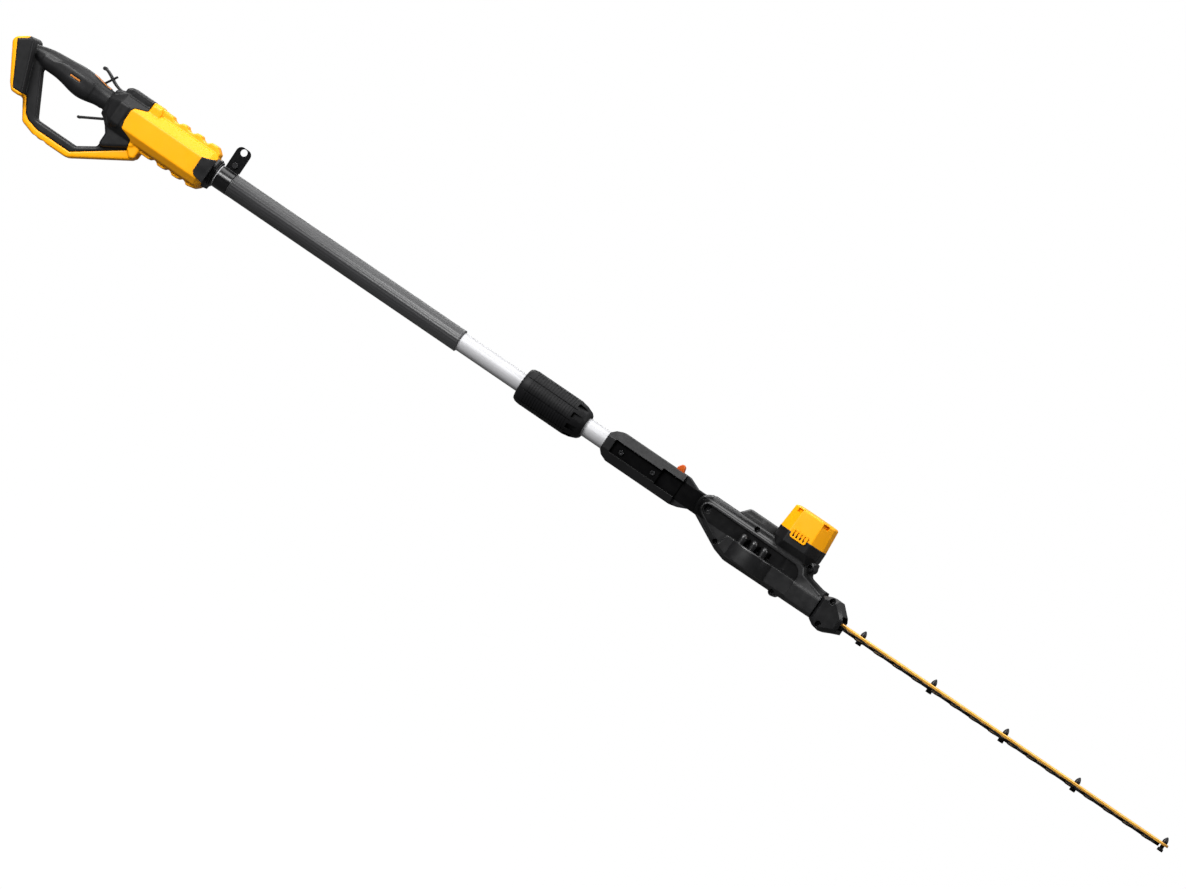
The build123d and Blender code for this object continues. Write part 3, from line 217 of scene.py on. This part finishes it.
def moulded_plastic(
    name, colour, lighter, roughness, rounding=0.6 * MM, shine=0.5, darkest=0.6, recess=None
):
    """Injection-moulded plastic: fine spark texture, faint shade changes, polished edges, painted shade in
    recesses and corners.

    recess is the half width and half height of a recessed web, whose faces get painted shade.
    """
    shader = Shader(name)
    polish = shader.edges(0.9 * MM)
    # painted shade: colour and shine grow darker in recesses, slots and corners
    painted_shade_factor = shader.painted_hollow_shade(darkest)
    if recess:
        # painted shade: the faces of the recessed web are darkened in colour and shine
        web = shader.remap(shader.inner_faces(*recess), 0.0, 1.0, 1.0, WEB_SHADE)
        painted_shade_factor = shader.math("MULTIPLY", painted_shade_factor, web)
    tone = shader.spread(shader.noise(50 * MM, detail=2.0), 0.0, 0.35)
    tone = shader.math("MAXIMUM", tone, shader.math("MULTIPLY", polish, 0.6))
    lit = shader.mix(tone, colour, lighter)
    shader.set(Base_Color=shader.mix(painted_shade_factor, darkened(colour, darkest), lit))
    shader.set(Specular_IOR_Level=shader.math("MULTIPLY", painted_shade_factor, shine))
    cloud = shader.noise(12 * MM, detail=4.0)
    rough = shader.remap(cloud, 0.25, 0.75, roughness - 0.05, roughness + 0.07)
    shader.set(Roughness=shader.math("SUBTRACT", rough, shader.math("MULTIPLY", polish, 0.08)))
    spark = shader.noise(0.6 * MM, detail=2.0, rough=0.6)
    shader.bump(spark, depth=0.04 * MM, strength=0.5, rounding=rounding)
    return shader.material


def soft_rubber(name, colour, lighter, darkest=0.25):
    """Soft-touch overmould: matt, with a leathery pebble, a faint sheen and painted shade in recesses and
    corners.
    """
    shader = Shader(name)
    # painted shade: colour and shine grow darker in recesses and corners
    painted_shade_factor = shader.painted_hollow_shade(darkest)
    tone = shader.spread(shader.noise(40 * MM), 0.0, 0.4)
    tone = shader.math("MAXIMUM", tone, shader.math("MULTIPLY", shader.edges(1.2 * MM), 0.8))
    lit = shader.mix(tone, colour, lighter)
    shader.set(Base_Color=shader.mix(painted_shade_factor, darkened(colour, darkest), lit))
    shader.set(Specular_IOR_Level=shader.math("MULTIPLY", painted_shade_factor, 0.26))
    shader.set(Roughness=shader.spread(shader.noise(10 * MM), 0.38, 0.48))
    shader.set(Sheen_Weight=0.02, Sheen_Roughness=0.5)
    pebble = shader.cells(0.9 * MM)
    shader.bump(pebble, depth=0.04 * MM, strength=0.4, rounding=1.4 * MM)
    return shader.material


def foam_rubber(name, colour, lighter):
    """Sleeve of extruded rubber foam: fine lengthwise lines and open pores."""
    shader = Shader(name)
    lines = shader.noise(0.7 * MM, rough=0.6, vector=shader.stretched((0.02, 1.0, 1.0)))
    pores = shader.noise(0.4 * MM, detail=2.0, rough=0.7)
    shader.set(Base_Color=shader.mix(shader.remap(lines, 0.35, 0.7), colour, lighter))
    shader.set(Roughness=shader.spread(pores, 0.36, 0.5), Sheen_Weight=0.1, Specular_IOR_Level=0.55)
    skin = shader.math("ADD", lines, shader.math("MULTIPLY", pores, 0.6))
    shader.bump(skin, depth=0.12 * MM, strength=0.6, rounding=0.5 * MM)
    return shader.material


def anodised_tube(name):
    """Satin anodised tube with drawing lines along its length, and painted shade that darkens it seen
    edge-on.
    """
    shader = Shader(name)
    streaks = shader.brushed(0.9 * MM, (0.01, 1.0, 1.0))
    cloud = shader.noise(30 * MM, detail=2.0)
    satin = shader.mix(shader.spread(streaks), (0.45, 0.45, 0.46), (0.5, 0.5, 0.515))
    # painted shade: the colour darkens towards the tube's outline, so that its silhouette shows
    edge_on_painted_shade = shader.remap(shader.node("LayerWeight").outputs["Facing"], 0.25, 0.9)
    shader.set(Base_Color=shader.mix(edge_on_painted_shade, satin, (0.3, 0.3, 0.31)), Metallic=0.1)
    shader.set(Roughness=shader.spread(cloud, 0.36, 0.46), Specular_IOR_Level=0.3)
    shader.bump(streaks, MACHINING_DEPTH, strength=0.5, rounding=MACHINED_ROUNDING)
    return shader.material


def gloss_coated_steel(name, colour, roughness=0.16):
    """Powder-coated steel: glossy with a light orange-peel."""
    shader = Shader(name)
    peel = shader.noise(1.4 * MM, detail=2.0)
    thin_coat = tuple(c + 0.02 for c in colour)
    shader.set(Base_Color=shader.mix(shader.edges(METAL_WEAR), colour, thin_coat))
    shader.set(Roughness=shader.spread(peel, roughness, roughness + 0.1), Specular_IOR_Level=0.4)
    shader.bump(peel, depth=0.02 * MM, strength=0.2)
    return shader.material


def machined_steel(name, dark, light, roughness=0.35, streak=LENGTHWISE, worn=(0.55, 0.55, 0.56)):
    """Metal with directional grinding marks, blotches of finish and brighter worn edges."""
    shader = Shader(name)
    marks = shader.brushed(0.6 * MM, streak)
    blotch = shader.spread(shader.noise(15 * MM), 0.6, 1.0)
    body = shader.mix(shader.math("MULTIPLY", shader.spread(marks), blotch), dark, light)
    rubbed = shader.remap(shader.noise(4 * MM), 0.35, 0.6)
    wear = shader.math("MULTIPLY", shader.edges(METAL_WEAR), rubbed)
    shader.set(Base_Color=shader.mix(wear, body, worn), Metallic=1.0)
    shader.set(Roughness=shader.spread(marks, roughness - 0.06, roughness + 0.1))
    shader.bump(marks, MACHINING_DEPTH, strength=0.6, rounding=MACHINED_ROUNDING)
    return shader.material


def coated_bar(name):
    """Amber low-friction coating on the guide bar, brushed along its length."""
    shader = Shader(name)
    marks = shader.brushed(0.6 * MM, LENGTHWISE)
    blotch = shader.remap(shader.noise(20 * MM, detail=4.0, rough=0.6), 0.45, 0.8, 0.0, 0.35)
    brushed = shader.mix(shader.spread(marks), (0.72, 0.33, 0.035), (0.95, 0.5, 0.08))
    body = shader.mix(blotch, brushed, (0.5, 0.2, 0.02))
    rubbed = shader.remap(shader.noise(6 * MM), 0.45, 0.65)
    wear = shader.math("MULTIPLY", shader.edges(METAL_WEAR), rubbed)
    shader.set(Base_Color=shader.mix(wear, body, (0.75, 0.68, 0.58)), Metallic=0.55)
    shader.set(Roughness=shader.spread(marks, 0.28, 0.42), Coat_Weight=0.25, Coat_Roughness=0.2)
    shader.bump(marks, MACHINING_DEPTH, strength=0.5, rounding=MACHINED_ROUNDING)
    return shader.material


def ground_teeth(name):
    """Blackened blade steel whose sloping ground faces are bright; flats and side walls stay dark."""
    shader = Shader(name)
    marks = shader.brushed(0.5 * MM, (1.0, 0.05, 1.0))
    geometry = shader.node("NewGeometry")
    split = shader.node("SeparateXYZ")
    shader.link(geometry.outputs["True Normal"], split.inputs["Vector"])
    upright = shader.math("ABSOLUTE", split.outputs["Z"])  # 1 on the flats, 0 on the side walls
    not_flat = shader.remap(upright, 0.97, 0.9)
    not_wall = shader.remap(upright, 0.1, 0.25)
    ground = shader.math("MULTIPLY", not_flat, not_wall)
    black = shader.mix(shader.spread(marks), (0.02, 0.02, 0.02), (0.06, 0.058, 0.055))
    bright = shader.mix(shader.spread(marks), (0.38, 0.38, 0.39), (0.66, 0.66, 0.67))
    shader.set(Base_Color=shader.mix(ground, black, bright), Metallic=0.95)
    shader.set(Roughness=shader.spread(marks, 0.24, 0.4))
    shader.bump(marks, MACHINING_DEPTH, strength=0.6, rounding=MACHINED_ROUNDING)
    return shader.material


BLACK = (0.004, 0.004, 0.0045)
BLACK_EDGE = (0.011, 0.011, 0.012)
ARM_WEB = (16.5 * MM, 14.2 * MM)  # half width and half height of the arm's recess, which gets painted shade
HEAD_WEB = (24.8 * MM, 13.2 * MM)  # the same of the head's


def black_plastic(name, roughness=0.33, rounding=1.6 * MM, shine=0.4, recess=None):
    return moulded_plastic(
        name, BLACK, BLACK_EDGE, roughness, rounding, shine, darkest=0.1, recess=recess
    )


MATERIALS = {
    "yellow": moulded_plastic(
        "yellow_shell", (0.93, 0.37, 0.0004), (0.98, 0.42, 0.002),
        roughness=0.38, shine=0.25, darkest=0.75,
    ),
    "black": black_plastic("black_shell"),
    "arm": black_plastic("arm_black", recess=ARM_WEB),
    "head": black_plastic("head_black", rounding=2 * MM, shine=0.55, recess=HEAD_WEB),
    "ribbed": black_plastic("collar_black", roughness=0.5, rounding=0.4 * MM, shine=0.15),
    "soft": soft_rubber("soft_overmould", BLACK, (0.016, 0.016, 0.017)),
    "foam": foam_rubber("foam_sleeve", (0.016, 0.016, 0.017), (0.034, 0.034, 0.036)),
    "tube": anodised_tube("anodised_tube"),
    "gloss": gloss_coated_steel("coated_steel", (0.003, 0.003, 0.0035)),
    "orange": moulded_plastic("orange_plastic", (0.45, 0.05, 0.002), (0.8, 0.24, 0.01), roughness=0.3),
    "accent": moulded_plastic("orange_inlay", (0.42, 0.13, 0.01), (0.6, 0.22, 0.03), roughness=0.4),
    "steel": machined_steel("ground_steel", (0.42, 0.42, 0.43), (0.6, 0.6, 0.62)),
    "dark": machined_steel(
        "oxide_steel", (0.015, 0.015, 0.016), (0.05, 0.05, 0.052),
        roughness=0.4, streak=NO_STREAK, worn=(0.2, 0.2, 0.2),
    ),
    "bar": coated_bar("amber_bar"),
    "blade": ground_teeth("blade_steel"),
    "copper": machined_steel(
        "contact_copper", (0.55, 0.25, 0.1), (0.75, 0.4, 0.18), roughness=0.3, worn=(0.9, 0.6, 0.4)
    ),
    "board": moulded_plastic("board_green", (0.01, 0.07, 0.03), (0.02, 0.12, 0.05), roughness=0.3),
    "cable": soft_rubber("cable_sheath", (0.01, 0.01, 0.01), (0.03, 0.03, 0.03)),
    "cast": machined_steel(
        "cast_alloy", (0.5, 0.5, 0.51), (0.66, 0.66, 0.67), roughness=0.5, streak=NO_STREAK
    ),
}

NODE_FINISH = {
    "yellow": ["housing_left", "housing_right", "motor_cap"],
    "soft": ["overmould_left", "overmould_right", "hanger_liner"],
    "black": [
        "nose_collar", "trigger", "lock_off_lever", "switch_module",
        "outer_coupler", "power_socket", "inner_coupler", "nose_guard",
    ],
    "arm": ["arm_left", "arm_right"],
    "head": ["head_left", "head_right"],
    "ribbed": ["coupling_collar"],
    "orange": ["latch_slider"],
    "accent": ["grip_accents"],
    "foam": ["fore_grip"],
    "tube": ["upper_tube", "lower_tube"],
    "gloss": ["hanger_clamp"],
    "steel": [
        "trigger_pin", "lock_off_pin", "latch_plunger", "latch_spring", "index_plate",
        "motor_can", "rotor", "cam_gear", "bearings", "base_plate",
    ],
    "dark": [
        "handle_screws", "hanger_bolt", "arm_screws", "pivot_bolt",
        "head_screws", "nose_screws", "blade_bolts",
    ],
    "bar": ["guide_bar"],
    "blade": ["upper_blade", "lower_blade"],
    "copper": ["battery_terminals", "power_plug"],
    "board": ["control_board"],
    "cable": ["handle_harness", "motor_leads"],
    "cast": ["gear_case"],
}


# ---------------------------------------------------------------- CAD nodes
VOXEL = 0.9 * MM
ROUNDING_PASSES = {"overmould_left": 5, "overmould_right": 5, "housing_left": 6, "housing_right": 6}
WELD_DISTANCE = 0.01 * MM
SMOOTH_DEGREES = 32.0  # faces that meet at less than this are shaded as one


def round_moulding(obj, passes):
    """Rounds every edge of a moulded shell the way a mould does."""
    remesh = obj.modifiers.new("moulding", "REMESH")
    remesh.mode = "VOXEL"
    remesh.voxel_size = VOXEL
    remesh.use_smooth_shade = True
    smooth = obj.modifiers.new("rounding", "SMOOTH")
    smooth.factor = 0.5
    smooth.iterations = passes


def finish_node(node, finish):
    """Gives a CAD node its material, and smooth shading that stops at real edges."""
    obj = NODES[node]
    obj.data.materials.clear()
    obj.data.materials.append(MATERIALS[finish])
    weld = obj.modifiers.new("weld", "WELD")
    weld.merge_threshold = WELD_DISTANCE
    for polygon in obj.data.polygons:
        polygon.use_smooth = True
    if node in ROUNDING_PASSES:
        round_moulding(obj, ROUNDING_PASSES[node])
    else:
        split = obj.modifiers.new("edges", "EDGE_SPLIT")
        split.split_angle = math.radians(SMOOTH_DEGREES)


for finish, names in NODE_FINISH.items():
    for name in names:
        finish_node(name, finish)


# ---------------------------------------------------------------- soft pieces and the ferrule
TUBE_GAP = 0.05 * MM  # between the tube and a ring on it
FERRULE_GAP = 0.1 * MM  # between the ferrule and its neighbours


def rounded_ring(start, end, outer, inner, lip, bead, steps=6):
    """Profile of a ring along the pole, as (x, radius, share of the flutes).

    Both ends are rounded by lip, and stand out by bead from the length between them.
    """
    quarter = [math.pi / 2 * i / steps for i in range(steps + 1)]
    rise = [(start + lip - lip * math.cos(a), outer - lip + lip * math.sin(a), 0.0) for a in quarter]
    fall = [(end - lip + lip * math.sin(a), outer - lip + lip * math.cos(a), 0.0) for a in quarter]
    neck = 2.5 * bead  # the length over which the bead eases down
    shares = [i / 4 for i in range(5)]
    slope = [(t, outer - bead * t * t * (3 - 2 * t)) for t in shares]
    left = [(start + lip + neck * t, radius, t) for t, radius in slope]
    right = [(end - lip - neck * t, radius, t) for t, radius in reversed(slope)]
    bore = [(end, inner, 0.0), (start, inner, 0.0)]
    return rise + left[1:] + right[:-1] + fall + bore


def turned(name, profile, finish, flutes, depth, sides):
    """A ring turned about the pole's axis, with shallow flutes along its outside."""
    ring = bmesh.new()
    columns = []
    for i in range(sides):
        angle = 2 * math.pi * i / sides
        groove = depth * (0.5 - 0.5 * math.cos(flutes * angle))
        radii = [(x, radius - groove * share) for x, radius, share in profile]
        columns.append([ring.verts.new((x, r * math.cos(angle), r * math.sin(angle))) for x, r in radii])
    for i, column in enumerate(columns):
        following = columns[(i + 1) % sides]
        for j in range(len(profile)):
            k = (j + 1) % len(profile)
            ring.faces.new((column[j], column[k], following[k], following[j])).smooth = True
    bmesh.ops.recalc_face_normals(ring, faces=ring.faces)
    mesh = bpy.data.meshes.new(name)
    ring.to_mesh(mesh)
    ring.free()
    mesh.materials.append(MATERIALS[finish])
    obj = bpy.data.objects.new(name, mesh)
    bpy.context.scene.collection.objects.link(obj)
    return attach(obj, "handle_and_pole")


BORE_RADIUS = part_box("upper_tube")[1].z + TUBE_GAP


def foam_sleeve():
    """The fluted rubber-foam sleeve of the front hand."""
    low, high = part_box("fore_grip")
    profile = rounded_ring(low.x, high.x, high.z, BORE_RADIUS, lip=1.2 * MM, bead=0.35 * MM)
    sleeve = turned("foam_sleeve", profile, "foam", flutes=24, depth=0.2 * MM, sides=240)
    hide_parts("fore_grip")


def rubber_liner():
    """The rubber strip between the strap hanger and the tube."""
    low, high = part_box("hanger_liner")
    profile = rounded_ring(low.x, high.x, high.z, BORE_RADIUS, lip=0.4 * MM, bead=0.2 * MM)
    liner = turned("rubber_liner", profile, "soft", flutes=24, depth=0.2 * MM, sides=192)
    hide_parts("hanger_liner")


def pole_ferrule():
    """The thin bright ring round the pole between the nose collar and the strap hanger."""
    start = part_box("nose_collar")[1].x + FERRULE_GAP
    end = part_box("hanger_clamp")[0].x - FERRULE_GAP
    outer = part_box("fore_grip")[1].z
    profile = rounded_ring(start, end, outer, BORE_RADIUS, lip=0.3 * MM, bead=0.05 * MM)
    turned("pole_ferrule", profile, "tube", flutes=12, depth=0.02 * MM, sides=96)


foam_sleeve()
rubber_liner()
pole_ferrule()


# ---------------------------------------------------------------- camera
AZIMUTH, ELEVATION, ROLL = (math.radians(a) for a in (9.0, 2.0, 34.0))
LOOK_AT = Vector((0.426, 0.0, -0.015))  # the middle of the picture
TOWARDS_CAMERA = Vector((
    math.sin(AZIMUTH) * math.cos(ELEVATION),
    -math.cos(AZIMUTH) * math.cos(ELEVATION),
    math.sin(ELEVATION),
))
PICTURE_WIDTH = 1.684 * math.cos(AZIMUTH)  # as wide as 1.684 m of the pole looks
LENS, SENSOR = 800.0, 36.0  # a distant camera, so that near and far ends keep the same scale
VIEW_END = 400.0  # past the far corners of the floor


def camera():
    data = bpy.data.cameras.new("camera")
    data.lens, data.sensor_width = LENS, SENSOR
    data.clip_end = VIEW_END
    obj = bpy.data.objects.new("camera", data)
    bpy.context.scene.collection.objects.link(obj)
    distance = PICTURE_WIDTH * LENS / SENSOR
    obj.location = LOOK_AT + TOWARDS_CAMERA * distance
    level = (-TOWARDS_CAMERA).to_track_quat("-Z", "Y").to_matrix().to_4x4()
    obj.rotation_euler = (level @ Matrix.Rotation(ROLL, 4, "Z")).to_euler()
    bpy.context.scene.camera = obj


# ---------------------------------------------------------------- studio
FLOOR_HALF = 60.0  # half the length of its side
FLOOR_GLOW = 0.99  # how bright the camera sees the floor
FLOOR_BOUNCE = (0.1, 0.1, 0.1)  # its colour for the light that it sends back to the object
FLOOR_SEEN = (0.02, 0.02, 0.02)  # its colour under the glow
ROOM_LOW, ROOM_HIGH = 0.05, 0.6  # brightness of the room at the horizon and overhead
HORIZON, OVERHEAD = 0.05, 0.8  # heights of a direction's Z that these start from
PICTURE_UP = Vector((-0.56, 0.0, 0.83))  # the picture shows the tool with its head down to the right
PICTURE_RIGHT = Vector((0.83, 0.0, 0.56))


def studio_floor():
    """Pale floor that stays near white, low enough for the blade to hang straight down over it."""
    folded_reach = cad_box[1].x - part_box("arm_left")[0].x
    corners = [(-1, -1), (1, -1), (1, 1), (-1, 1)]
    points = [(FLOOR_HALF * x, FLOOR_HALF * y, -folded_reach) for x, y in corners]
    mesh = bpy.data.meshes.new("floor")
    mesh.from_pydata(points, [], [(0, 1, 2, 3)])
    floor = bpy.data.objects.new("floor", mesh)
    bpy.context.scene.collection.objects.link(floor)
    shader = Shader("pale_floor")
    seen = shader.node("LightPath").outputs["Is Camera Ray"]
    shader.set(Base_Color=shader.mix(seen, FLOOR_BOUNCE, FLOOR_SEEN), Roughness=0.9, Specular_IOR_Level=0.0)
    glow = shader.math("MULTIPLY", seen, FLOOR_GLOW)
    shader.set(Emission_Color=(1.0, 1.0, 1.0), Emission_Strength=glow)
    mesh.materials.append(shader.material)


def studio_world():
    """White to the camera; for the object a dim room under a bright ceiling, so that black stays black."""
    world = bpy.data.worlds.new("studio")
    bpy.context.scene.world = world
    world.use_nodes = True
    tree = world.node_tree
    background = tree.nodes["Background"]
    direction = tree.nodes.new("ShaderNodeTexCoord").outputs["Generated"]
    split = tree.nodes.new("ShaderNodeSeparateXYZ")
    tree.links.new(direction, split.inputs["Vector"])
    height = tree.nodes.new("ShaderNodeMapRange")
    height.interpolation_type = "SMOOTHSTEP"
    height.inputs["From Min"].default_value = HORIZON
    height.inputs["From Max"].default_value = OVERHEAD
    height.inputs["To Min"].default_value = ROOM_LOW
    height.inputs["To Max"].default_value = ROOM_HIGH
    tree.links.new(split.outputs["Z"], height.inputs["Value"])
    pick = tree.nodes.new("ShaderNodeMix")
    seen = tree.nodes.new("ShaderNodeLightPath").outputs["Is Camera Ray"]
    tree.links.new(seen, pick.inputs["Factor"])
    tree.links.new(height.outputs["Result"], pick.inputs["A"])
    pick.inputs["B"].default_value = 1.0
    tree.links.new(pick.outputs["Result"], background.inputs["Strength"])
    background.inputs["Color"].default_value = (1.0, 1.0, 1.0, 1.0)


def soft_light(name, right, up, front, size, power):
    """A soft box in metres to the right of, above and in front of the object, as the picture shows it."""
    light = bpy.data.lights.new(name, "AREA")
    light.shape = "RECTANGLE"
    light.size, light.size_y = size
    light.energy = power
    offset = right * PICTURE_RIGHT + up * PICTURE_UP + front * TOWARDS_CAMERA
    obj = bpy.data.objects.new(name, light)
    obj.location = LOOK_AT + offset
    obj.rotation_euler = (-offset).to_track_quat("-Z", "Y").to_euler()
    bpy.context.scene.collection.objects.link(obj)


studio_floor()
studio_world()
soft_light("key", right=-1.5, up=3.9, front=4.2, size=(3.0, 2.0), power=400)
soft_light("top", right=2.0, up=4.2, front=0.3, size=(4.0, 3.0), power=150)
soft_light("rim", right=0.0, up=3.0, front=-3.6, size=(4.0, 0.8), power=55)
soft_light("low", right=1.5, up=-4.2, front=2.6, size=(3.0, 1.5), power=90)
soft_light("side", right=4.6, up=0.3, front=1.6, size=(1.5, 2.5), power=90)
camera()

bpy.context.scene.view_settings.view_transform = "Standard"
